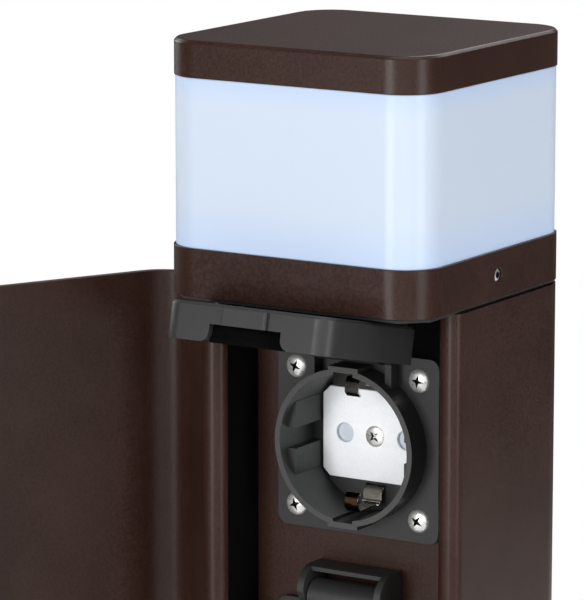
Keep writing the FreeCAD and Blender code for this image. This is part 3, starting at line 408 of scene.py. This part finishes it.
metals = {
    "stainless": {
        "dark": screenColour(206, 205, 203),
        "light": screenColour(234, 233, 231),
        # sunk here is the painted shade in the screw recesses
        "sunk": screenColour(46, 45, 43),
        "raised": screenColour(240, 240, 240),
        "rough": (0.26, 0.4),
        "metallic": 0.72,
        "streak": 0.0005,
        "cloud": 0.003,
        "bump": 0.15,
        "depth": 0.00002,
    },
    "nickel_spring": {
        "dark": screenColour(196, 190, 178),
        "light": screenColour(226, 222, 214),
        # sunk is painted shade on the upper clip's hook, raised a painted copper-brown reflection on the
        # lower hook
        "sunk": screenColour(40, 39, 38),
        "raised": screenColour(70, 50, 38),
        "rough": (0.16, 0.22),
        "streak": 0.0004,
        "cloud": 0.004,
        "bump": 0.03,
        "depth": 0.00001,
    },
    "brass": {
        "dark": screenColour(176, 142, 82),
        "light": screenColour(206, 172, 104),
        "rough": (0.2, 0.34),
        "streak": 0.0004,
        "cloud": 0.004,
        "bump": 0.15,
        "depth": 0.00002,
    },
    "chrome_zinc": {
        "dark": screenColour(204, 205, 208),
        "light": screenColour(226, 227, 230),
        "rough": (0.24, 0.36),
        "metallic": 0.85,
        "streak": 0.0006,
        "cloud": 0.006,
        "bump": 0.1,
        "depth": 0.00002,
    },
    "cast_alloy": {
        "dark": screenColour(168, 168, 170),
        "light": screenColour(190, 190, 192),
        "rough": (0.4, 0.58),
        "streak": 0.0008,
        "cloud": 0.01,
        "bump": 0.35,
        "depth": 0.00006,
    },
    "bare_aluminium": {
        "dark": screenColour(186, 188, 190),
        "light": screenColour(210, 211, 213),
        "rough": (0.3, 0.44),
        "streak": 0.0005,
        "cloud": 0.01,
        "bump": 0.2,
        "depth": 0.00003,
    },
}
paintedShadeBlack = paintedShadeDark()
materials = {"brown_coat": brownCoat(), "opal_plastic": opalPaintedGlow(), "emitter_yellow": emitterGlow()}
for slotName, values in plastics.items():
    materials[slotName] = finishMaterial(slotName.replace("_", ""), grainMasks, values)
for slotName, values in metals.items():
    materials[slotName] = finishMaterial(slotName.replace("_", ""), streakMasks, {"metallic": 1.0, **values})
print("materials ready:", len(materials))


def shadeSmooth(mesh, degrees):
    # bends sharper than so many degrees keep their edge
    mesh.shade_smooth()
    mesh.set_sharp_from_angle(angle=math.radians(degrees))


def takeFinish(piece, node):
    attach(piece, nodes[node]["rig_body"])
    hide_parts(node)
    piece.data.materials.clear()
    piece.data.materials.append(materials[slotOf[node]])


def mergedCopy(node):
    # the node's loose triangles joined, with its flat faces whole again
    merge = {"apart": 2e-6, "flat": 0.4}
    work = bmesh.new()
    work.from_mesh(nodes[node].data)
    bmesh.ops.remove_doubles(work, verts=work.verts, dist=merge["apart"])
    flat = math.radians(merge["flat"])
    bmesh.ops.dissolve_limit(work, angle_limit=flat, verts=work.verts, edges=work.edges)
    return work


def markTones(mesh, toneOf):
    # a tone on each face, for painted shade, painted light or a duller colour there
    marks = mesh.attributes.new("tone", "FLOAT", "FACE")
    for face in mesh.polygons:
        marks.data[face.index].value = toneOf(face.center, face.normal)


def polished(node, edge=0.0003, segments=2, bend=32, toneOf=None):
    # a copy whose sharp edges are rounded and whose gentle bends are smooth
    mesh = bpy.data.meshes.new(node)
    work = mergedCopy(node)
    work.to_mesh(mesh)
    work.free()
    if toneOf:
        markTones(mesh, toneOf)
    piece = bpy.data.objects.new(node + "_finished", mesh)
    bpy.context.scene.collection.objects.link(piece)
    shadeSmooth(mesh, bend)
    bevel = piece.modifiers.new("edges", "BEVEL")
    bevel.width = edge
    bevel.segments = segments
    bevel.limit_method = "ANGLE"
    bevel.angle_limit = math.radians(bend)
    weighted = piece.modifiers.new("shading", "WEIGHTED_NORMAL")
    weighted.keep_sharp = True
    takeFinish(piece, node)


def newTree(name, inputs):
    tree = bpy.data.node_groups.new(name, "GeometryNodeTree")
    tree.interface.new_socket("Geometry", in_out="INPUT", socket_type="NodeSocketGeometry")
    for label, value in inputs.items():
        kind = "NodeSocketInt" if isinstance(value, int) else "NodeSocketFloat"
        tree.interface.new_socket(label, in_out="INPUT", socket_type=kind).default_value = value
    tree.interface.new_socket("Finish", in_out="INPUT", socket_type="NodeSocketMaterial")
    tree.interface.new_socket("Geometry", in_out="OUTPUT", socket_type="NodeSocketGeometry")
    return tree, tree.nodes.new("NodeGroupInput"), tree.nodes.new("NodeGroupOutput")


def triple(tree, x=0.0, y=0.0, z=0.0):
    node = tree.nodes.new("ShaderNodeCombineXYZ")
    for value, socket in zip((x, y, z), node.inputs):
        feed(tree, value, socket)
    return node.outputs[0]


def plainShape(tree, kind, values):
    node = tree.nodes.new(kind)
    for label, value in values.items():
        feed(tree, value, node.inputs[label])
    return node.outputs["Mesh"]


def movedShape(tree, shape, offset=None, scale=None):
    node = tree.nodes.new("GeometryNodeTransform")
    tree.links.new(shape, node.inputs["Geometry"])
    for label, value in (("Translation", offset), ("Scale", scale)):
        if value is not None:
            tree.links.new(value, node.inputs[label])
    return node.outputs[0]


def cutShape(tree, body, tools):
    node = tree.nodes.new("GeometryNodeMeshBoolean")
    node.operation = "DIFFERENCE"
    node.solver = "EXACT"
    tree.links.new(body, node.inputs["Mesh 1"])
    for tool in tools:
        tree.links.new(tool, node.inputs["Mesh 2"])
    return node.outputs["Mesh"]


def screwTree(name, recess):
    # domed heads on shanks, one at each point, turned to the point's own facing with a chance roll
    inputs = {
        "Head Radius": 0.0032,
        "Head Height": 0.0013,
        "Shank Radius": 0.0018,
        "Shank Length": 0.006,
        "Recess Reach": 0.0019,
        "Recess Width": 0.0009,
        "Recess Depth": 0.0009,
        "Roll Seed": 5,
    }
    tree, groupIn, groupOut = newTree(name, inputs)
    size = groupIn.outputs
    ball = plainShape(tree, "GeometryNodeMeshUVSphere", {"Segments": 32, "Rings": 16, "Radius": 1.0})
    headScale = triple(tree, size["Head Radius"], size["Head Radius"], size["Head Height"])
    dome = movedShape(tree, ball, scale=headScale)
    # a block as large as any head takes off the dome's lower half
    block = 0.1
    under = plainShape(tree, "GeometryNodeMeshCube", {"Size": (block, block, block)})
    tools = [movedShape(tree, under, offset=triple(tree, z=-block / 2))]
    recessTop = triple(tree, z=size["Head Height"])
    if recess == "cross":
        wedge = {"Vertices": 4, "Radius Top": 1.0, "Radius Bottom": 0.5, "Depth": 2.0}
        blade = plainShape(tree, "GeometryNodeMeshCone", wedge)
        sunk = movedShape(tree, blade, offset=triple(tree, z=-wedge["Depth"]))
        for across, along in (("Recess Reach", "Recess Width"), ("Recess Width", "Recess Reach")):
            scale = triple(tree, size[across], size[along], size["Recess Depth"])
            tools.append(movedShape(tree, sunk, offset=recessTop, scale=scale))
    else:
        socket = plainShape(tree, "GeometryNodeMeshCylinder", {"Vertices": 6, "Radius": 1.0, "Depth": 2.0})
        scale = triple(tree, size["Recess Reach"], size["Recess Reach"], size["Recess Depth"])
        tools.append(movedShape(tree, socket, offset=recessTop, scale=scale))
    head = cutShape(tree, dome, tools)
    shankSize = {"Vertices": 20, "Radius": size["Shank Radius"], "Depth": size["Shank Length"]}
    rod = plainShape(tree, "GeometryNodeMeshCylinder", shankSize)
    halfDown = mathNode(tree, "MULTIPLY", size["Shank Length"], -0.5)
    shank = movedShape(tree, rod, offset=triple(tree, z=halfDown))
    screw = tree.nodes.new("GeometryNodeJoinGeometry")
    tree.links.new(head, screw.inputs[0])
    tree.links.new(shank, screw.inputs[0])
    chance = tree.nodes.new("FunctionNodeRandomValue")
    chance.data_type = "FLOAT"
    floats = [socket for socket in chance.inputs if socket.type == "VALUE" and socket.enabled]
    floats[0].default_value, floats[1].default_value = 0.0, math.pi
    tree.links.new(size["Roll Seed"], chance.inputs["Seed"])
    roll = next(socket for socket in chance.outputs if socket.enabled)
    facing = tree.nodes.new("GeometryNodeInputNamedAttribute")
    facing.data_type = "FLOAT_VECTOR"
    facing.inputs["Name"].default_value = "facing"
    upright = tree.nodes.new("FunctionNodeAlignRotationToVector")
    upright.axis = "Z"
    tree.links.new(triple(tree, z=roll), upright.inputs["Rotation"])
    tree.links.new(next(socket for socket in facing.outputs if socket.enabled), upright.inputs["Vector"])
    spots = tree.nodes.new("GeometryNodeInstanceOnPoints")
    tree.links.new(size["Geometry"], spots.inputs["Points"])
    tree.links.new(screw.outputs[0], spots.inputs["Instance"])
    tree.links.new(upright.outputs[0], spots.inputs["Rotation"])
    realize = tree.nodes.new("GeometryNodeRealizeInstances")
    tree.links.new(spots.outputs[0], realize.inputs[0])
    finish = tree.nodes.new("GeometryNodeSetMaterial")
    tree.links.new(realize.outputs[0], finish.inputs["Geometry"])
    tree.links.new(size["Finish"], finish.inputs["Material"])
    tree.links.new(finish.outputs[0], groupOut.inputs[0])
    return tree


def islandBoxes(node):
    # the box of each separate solid in a node
    work = mergedCopy(node)
    boxes, waiting = [], set(work.verts)
    while waiting:
        reached, island = [waiting.pop()], []
        while reached:
            vertex = reached.pop()
            island.append(vertex.co.copy())
            for edge in vertex.link_edges:
                other = edge.other_vert(vertex)
                if other in waiting:
                    waiting.remove(other)
                    reached.append(other)
        boxes.append([[pick(point[axis] for point in island) for axis in range(3)] for pick in (min, max)])
    work.free()
    return boxes


def screwSeats(node, values):
    # seat and facing of each screw in the node, and the head radius and shank length they share
    axis = 1 if values["facing"] == "front" else 0
    seats, facings = [], []
    for low, high in sorted(islandBoxes(node)):
        seat = [(low[i] + high[i]) / 2 for i in range(3)]
        side = 1.0 if axis == 0 and seat[0] > 0 else -1.0
        seat[axis] = (high[axis] if side > 0 else low[axis]) - side * values["headHeight"]
        facing = Vector()
        facing[axis] = side
        seats.append(Vector(seat))
        facings.append(facing)
    return seats, facings, (high[2] - low[2]) / 2, high[axis] - low[axis] - values["headHeight"]


def setScrews(node, values):
    # points at the head seats of the node's screws, then the tree's screws on them as one mesh
    seats, facings, headRadius, length = screwSeats(node, values)
    mesh = bpy.data.meshes.new(node)
    mesh.from_pydata(seats, [], [])
    marks = mesh.attributes.new("facing", "FLOAT_VECTOR", "POINT")
    for index, facing in enumerate(facings):
        marks.data[index].vector = facing
    maker = bpy.data.objects.new(node + "_spots", mesh)
    bpy.context.scene.collection.objects.link(maker)
    modifier = maker.modifiers.new("screws", "NODES")
    modifier.node_group = screwTrees[values["recess"]]
    chosen = {
        "Head Radius": headRadius,
        "Head Height": values["headHeight"],
        "Shank Radius": values["shank"],
        "Shank Length": length,
        "Recess Reach": values["reach"],
        "Recess Width": values.get("width", 0.0),
        "Recess Depth": values["depth"],
        "Roll Seed": values["seed"],
        "Finish": materials[slotOf[node]],
    }
    for item in modifier.node_group.interface.items_tree:
        if item.in_out == "INPUT" and item.name in chosen:
            modifier[item.identifier] = chosen[item.name]
    bpy.context.view_layer.update()
    made = bpy.data.meshes.new_from_object(maker.evaluated_get(bpy.context.evaluated_depsgraph_get()))
    maker.modifiers.remove(modifier)
    bpy.data.objects.remove(maker)
    made.name = node

    def paintedRecessShade(centre, normal):
        # painted shade: faces well inside the dome, in the recess, turn dark
        inside = {"rise": 0.00002, "share": 0.86}
        for seat, facing in zip(seats, facings):
            rise = (centre - seat).dot(facing)
            across = (centre - seat - facing * rise).length
            share = (across / headRadius) ** 2 + (rise / values["headHeight"]) ** 2
            if rise > inside["rise"] and share < inside["share"]:
                return -1.0
        return 0.0

    bend = 28
    markTones(made, paintedRecessShade)
    shadeSmooth(made, bend)
    piece = bpy.data.objects.new(node + "_finished", made)
    bpy.context.scene.collection.objects.link(piece)
    takeFinish(piece, node)


screwTrees = {"cross": screwTree("crossScrew", "cross"), "hexagon": screwTree("hexagonScrew", "hexagon")}
flangeScrew = {
    "facing": "front",
    "recess": "cross",
    "headHeight": 0.0013,
    "shank": 0.0018,
    "reach": 0.0021,
    "width": 0.0006,
    "depth": 0.0006,
    "seed": 11,
}
insertScrew = {**flangeScrew, "headHeight": 0.0006, "shank": 0.0014, "depth": 0.0003}
screwSets = {
    "upper_socket_flange_screws": flangeScrew,
    "lower_socket_flange_screws": {**flangeScrew, "seed": 4},
    "upper_socket_insert_screw": {**insertScrew, "seed": 7},
    "lower_socket_insert_screw": {**insertScrew, "seed": 9},
    "service_cover_screws": {**flangeScrew, "reach": 0.0017, "seed": 2},
    "collar_set_screws": {
        "facing": "sides",
        "recess": "hexagon",
        "headHeight": 0.0008,
        "shank": 0.0015,
        "reach": 0.001,
        "depth": 0.0007,
        "seed": 1,
    },
}
for nodeName, screwValues in screwSets.items():
    setScrews(nodeName, screwValues)
print("screws set:", len(screwSets), "groups")


def middleOf(node):
    low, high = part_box(node)
    return (low + high) / 2


def paintedRimHighlight(centre, normal):
    # painted highlight: the ring's front rim turns paler than the rest of a housing
    rim = {"level": -0.0121, "reach": 0.0002, "facing": -0.99}
    onRim = normal.y < rim["facing"] and abs(centre.y - rim["level"]) < rim["reach"]
    return 1.0 if onRim else 0.0


def paintedClipShadeAndReflection(node):
    # painted shade on the upper hook, which stands in the ring's shade, and a painted copper-brown
    # reflection on the lower hook's front
    hook = {"front": -0.006, "facing": -0.3, "shade": -0.85, "paintedReflection": 1.0}
    middle = middleOf(node)

    def toneOf(centre, normal):
        if centre.y > hook["front"] or normal.y > hook["facing"]:
            return 0.0
        return hook["shade"] if centre.z > middle.z else hook["paintedReflection"]

    return toneOf


def brushedTone(centre, normal):
    # the lock's plates are duller than screw heads
    return -0.35


# rounding, bends and tones of the pieces that differ from the rest
pieceLooks = {node: {"toneOf": brushedTone} for node in ("lock_keeper", "lock_cam", "lock_nut")}
for level in ("upper", "lower"):
    clips = level + "_socket_earth_clips"
    pieceLooks[level + "_lid"] = {"edge": 0.0005, "segments": 3}
    pieceLooks[level + "_socket_housing"] = {"edge": 0.00035, "segments": 3, "toneOf": paintedRimHighlight}
    pieceLooks[clips] = {"edge": 0.00012, "bend": 50, "toneOf": paintedClipShadeAndReflection(clips)}
for nodeName in nodes:
    if nodeName not in screwSets:
        polished(nodeName, **pieceLooks.get(nodeName, {}))
print("pieces finished:", len(nodes))


# painted shade: a near-black sheet piece on a node's body
def addPaintedShade(mesh, name, node):
    piece = bpy.data.objects.new(name, mesh)
    bpy.context.scene.collection.objects.link(piece)
    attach(piece, nodes[node]["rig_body"])
    mesh.materials.append(paintedShadeBlack)
    return piece


def paintedShadeUnderHead():
    # painted shade: two near-black sheets on the web, under the head and beside the upper hood, where the
    # web lies in shade
    paintedSheet = {
        "inner": 0.0142,
        "outer": 0.0328,
        "foot": 0.3644,
        "top": 0.3813,
        "rear": -0.0022,
        "front": -0.00255,
        "edge": 0.0001,
    }
    work = bmesh.new()
    for side in (-1, 1):
        inner = Vector((side * paintedSheet["inner"], paintedSheet["rear"], paintedSheet["foot"]))
        outer = Vector((side * paintedSheet["outer"], paintedSheet["front"], paintedSheet["top"]))
        span = Vector(abs(length) for length in outer - inner)
        bmesh.ops.create_cube(work, size=1.0, matrix=Matrix.LocRotScale((inner + outer) / 2, None, span))
    bmesh.ops.bevel(work, geom=work.edges[:], offset=paintedSheet["edge"], segments=1, affect="EDGES")
    mesh = bpy.data.meshes.new("head_painted_shade")
    work.to_mesh(mesh)
    work.free()
    addPaintedShade(mesh, "head_painted_shade", "post_body")


def paintedShadeLining(name, node, isLined):
    # painted shade: a thin near-black sheet on the chosen faces of a node
    thickness = 0.0002
    work = mergedCopy(node)
    work.normal_update()
    spare = [face for face in work.faces if not isLined(face.calc_center_median(), face.normal)]
    bmesh.ops.delete(work, geom=spare, context="FACES")
    mesh = bpy.data.meshes.new(name)
    work.to_mesh(mesh)
    work.free()
    wall = addPaintedShade(mesh, name, node).modifiers.new("wall", "SOLIDIFY")
    wall.thickness = thickness
    wall.offset = 1
    print(name, "faces:", len(mesh.polygons))


def inNotch(pin, opened):
    # finds the face behind a lid's finger notch, with the lid turned to where the upper one is at rest
    notch = {"low": (-0.0125, -0.0594, 0.3748), "high": (0.0125, -0.0576, 0.3803), "facing": -0.9}
    turn = Matrix.Rotation(math.radians(opened), 4, "X")
    back = Matrix.Translation(middleOf("upper_lid_pin")) @ turn @ Matrix.Translation(-middleOf(pin))

    def isLined(centre, normal):
        place, way = back @ centre, turn.to_3x3() @ normal
        inside = all(notch["low"][i] < place[i] < notch["high"][i] for i in range(3))
        return inside and way.y < notch["facing"]

    return isLined


def inChannel(centre, normal):
    # the two inner side walls of the socket bay
    channel = {"wall": 0.033, "apart": 0.0001, "facing": 0.99, "front": -0.0172, "rear": -0.0021}
    onWall = abs(abs(centre.x) - channel["wall"]) < channel["apart"] and abs(normal.x) > channel["facing"]
    return onWall and channel["front"] < centre.y < channel["rear"]


# painted shade: near-black sheets where the web under the head, the lid notches and the bay's inner walls
# lie in shade
paintedShadeUnderHead()
paintedShadeLining("upper_lid_notch_painted_shade", "upper_lid", inNotch("upper_lid_pin", 0))
paintedShadeLining("lower_lid_notch_painted_shade", "lower_lid", inNotch("lower_lid_pin", -102.8))
paintedShadeLining("channel_painted_shade", "post_body", inChannel)


def makeCamera():
    shot = {
        "place": (0.5547, -0.9230, 0.5837),
        "target": (-0.01691, -0.01059, 0.378255),
        "lens": 247.2,
        "farEnd": 20,
    }
    data = bpy.data.cameras.new("camera")
    data.lens = shot["lens"]
    data.clip_end = shot["farEnd"]
    camera = bpy.data.objects.new("camera", data)
    camera.location = shot["place"]
    aim = Vector(shot["target"]) - Vector(shot["place"])
    camera.rotation_euler = aim.to_track_quat("-Z", "Y").to_euler()
    bpy.context.scene.collection.objects.link(camera)
    bpy.context.scene.camera = camera


def makeLamp(name, values, aim):
    data = bpy.data.lights.new(name, "AREA")
    data.shape = "RECTANGLE"
    data.size, data.size_y = values["size"]
    data.energy = values["watts"]
    lamp = bpy.data.objects.new(name, data)
    turn, lift = math.radians(values["azimuth"]), math.radians(values["elevation"])
    away = Vector((math.sin(turn) * math.cos(lift), -math.cos(turn) * math.cos(lift), math.sin(lift)))
    lamp.location = aim + away * values["distance"]
    lamp.rotation_euler = away.to_track_quat("Z", "Y").to_euler()
    bpy.context.scene.collection.objects.link(lamp)


def makeLamps():
    # azimuths count from the door side towards +X, and every lamp faces the sockets and the head
    aim = Vector((0.0, 0.0, 0.38))
    lamps = {
        "leftBox": {"azimuth": -11, "elevation": 6, "distance": 1.5, "size": (0.5, 1.0), "watts": 13.5},
        "rightBox": {"azimuth": 73, "elevation": 10, "distance": 1.5, "size": (0.5, 1.1), "watts": 11.5},
        "frontBox": {"azimuth": 28, "elevation": 10, "distance": 1.6, "size": (1.25, 1.1), "watts": 7},
        "topBox": {"azimuth": 30, "elevation": 80, "distance": 1.6, "size": (1.4, 1.4), "watts": 13},
        "backBox": {"azimuth": 185, "elevation": 46, "distance": 1.8, "size": (1.0, 1.1), "watts": 18},
        "doorBox": {"azimuth": -100, "elevation": 14, "distance": 1.8, "size": (1.0, 1.1), "watts": 14},
    }
    for name, values in lamps.items():
        makeLamp(name, values, aim)


def whiteRays(tree):
    # what the camera sees straight, and what it sees in a mirror or through glass
    rays = tree.nodes.new("ShaderNodeLightPath")
    mirrored = mathNode(tree, "MAXIMUM", rays.outputs["Is Glossy Ray"], rays.outputs["Is Transmission Ray"])
    return rays.outputs["Is Camera Ray"], mirrored


def makeStage():
    # a pale round floor that fades to the white of the surroundings away from the post
    stage = {
        "radius": 1.2,
        "sides": 96,
        "level": -0.0005,
        "fadeFrom": 0.3,
        "fadeTo": 0.7,
        "colour": screenColour(240, 240, 241),
    }
    mesh = bpy.data.meshes.new("floor")
    points = []
    for step in range(stage["sides"]):
        turn = math.tau * step / stage["sides"]
        points.append((stage["radius"] * math.cos(turn), stage["radius"] * math.sin(turn), stage["level"]))
    mesh.from_pydata(points, [], [list(range(stage["sides"]))])
    floor = bpy.data.objects.new("floor", mesh)
    bpy.context.scene.collection.objects.link(floor)
    material, tree, shader = newMaterial("paleFloor")
    tree.nodes.remove(shader)
    diffuse = tree.nodes.new("ShaderNodeBsdfDiffuse")
    diffuse.inputs["Color"].default_value = stage["colour"]
    white = tree.nodes.new("ShaderNodeEmission")
    reach = tree.nodes.new("ShaderNodeVectorMath")
    reach.operation = "LENGTH"
    tree.links.new(tree.nodes.new("ShaderNodeTexCoord").outputs["Object"], reach.inputs[0])
    fade = softRange(tree, reach.outputs["Value"], stage["fadeFrom"], stage["fadeTo"])
    mix = tree.nodes.new("ShaderNodeMixShader")
    seen = mathNode(tree, "MAXIMUM", *whiteRays(tree))
    tree.links.new(mathNode(tree, "MULTIPLY", seen, fade), mix.inputs["Fac"])
    tree.links.new(diffuse.outputs[0], mix.inputs[1])
    tree.links.new(white.outputs[0], mix.inputs[2])
    tree.links.new(mix.outputs[0], tree.nodes["Material Output"].inputs["Surface"])
    mesh.materials.append(material)


def makeWorld():
    levels = {"ambient": 0.1, "seen": 1.0, "mirrored": 0.12}
    world = bpy.data.worlds.new("studio")
    world.use_nodes = True
    tree = world.node_tree
    background = tree.nodes["Background"]
    background.inputs["Color"].default_value = (1, 1, 1, 1)
    straight, mirrored = whiteRays(tree)
    glossy = mathNode(tree, "MULTIPLY", mirrored, levels["mirrored"] - levels["ambient"])
    seen = mathNode(tree, "MULTIPLY", straight, levels["seen"] - levels["ambient"])
    total = mathNode(tree, "ADD", mathNode(tree, "ADD", seen, glossy), levels["ambient"])
    tree.links.new(total, background.inputs["Strength"])
    bpy.context.scene.world = world


makeCamera()
makeLamps()
makeWorld()
makeStage()
bpy.context.scene.view_settings.view_transform = "Standard"
print("stage ready")
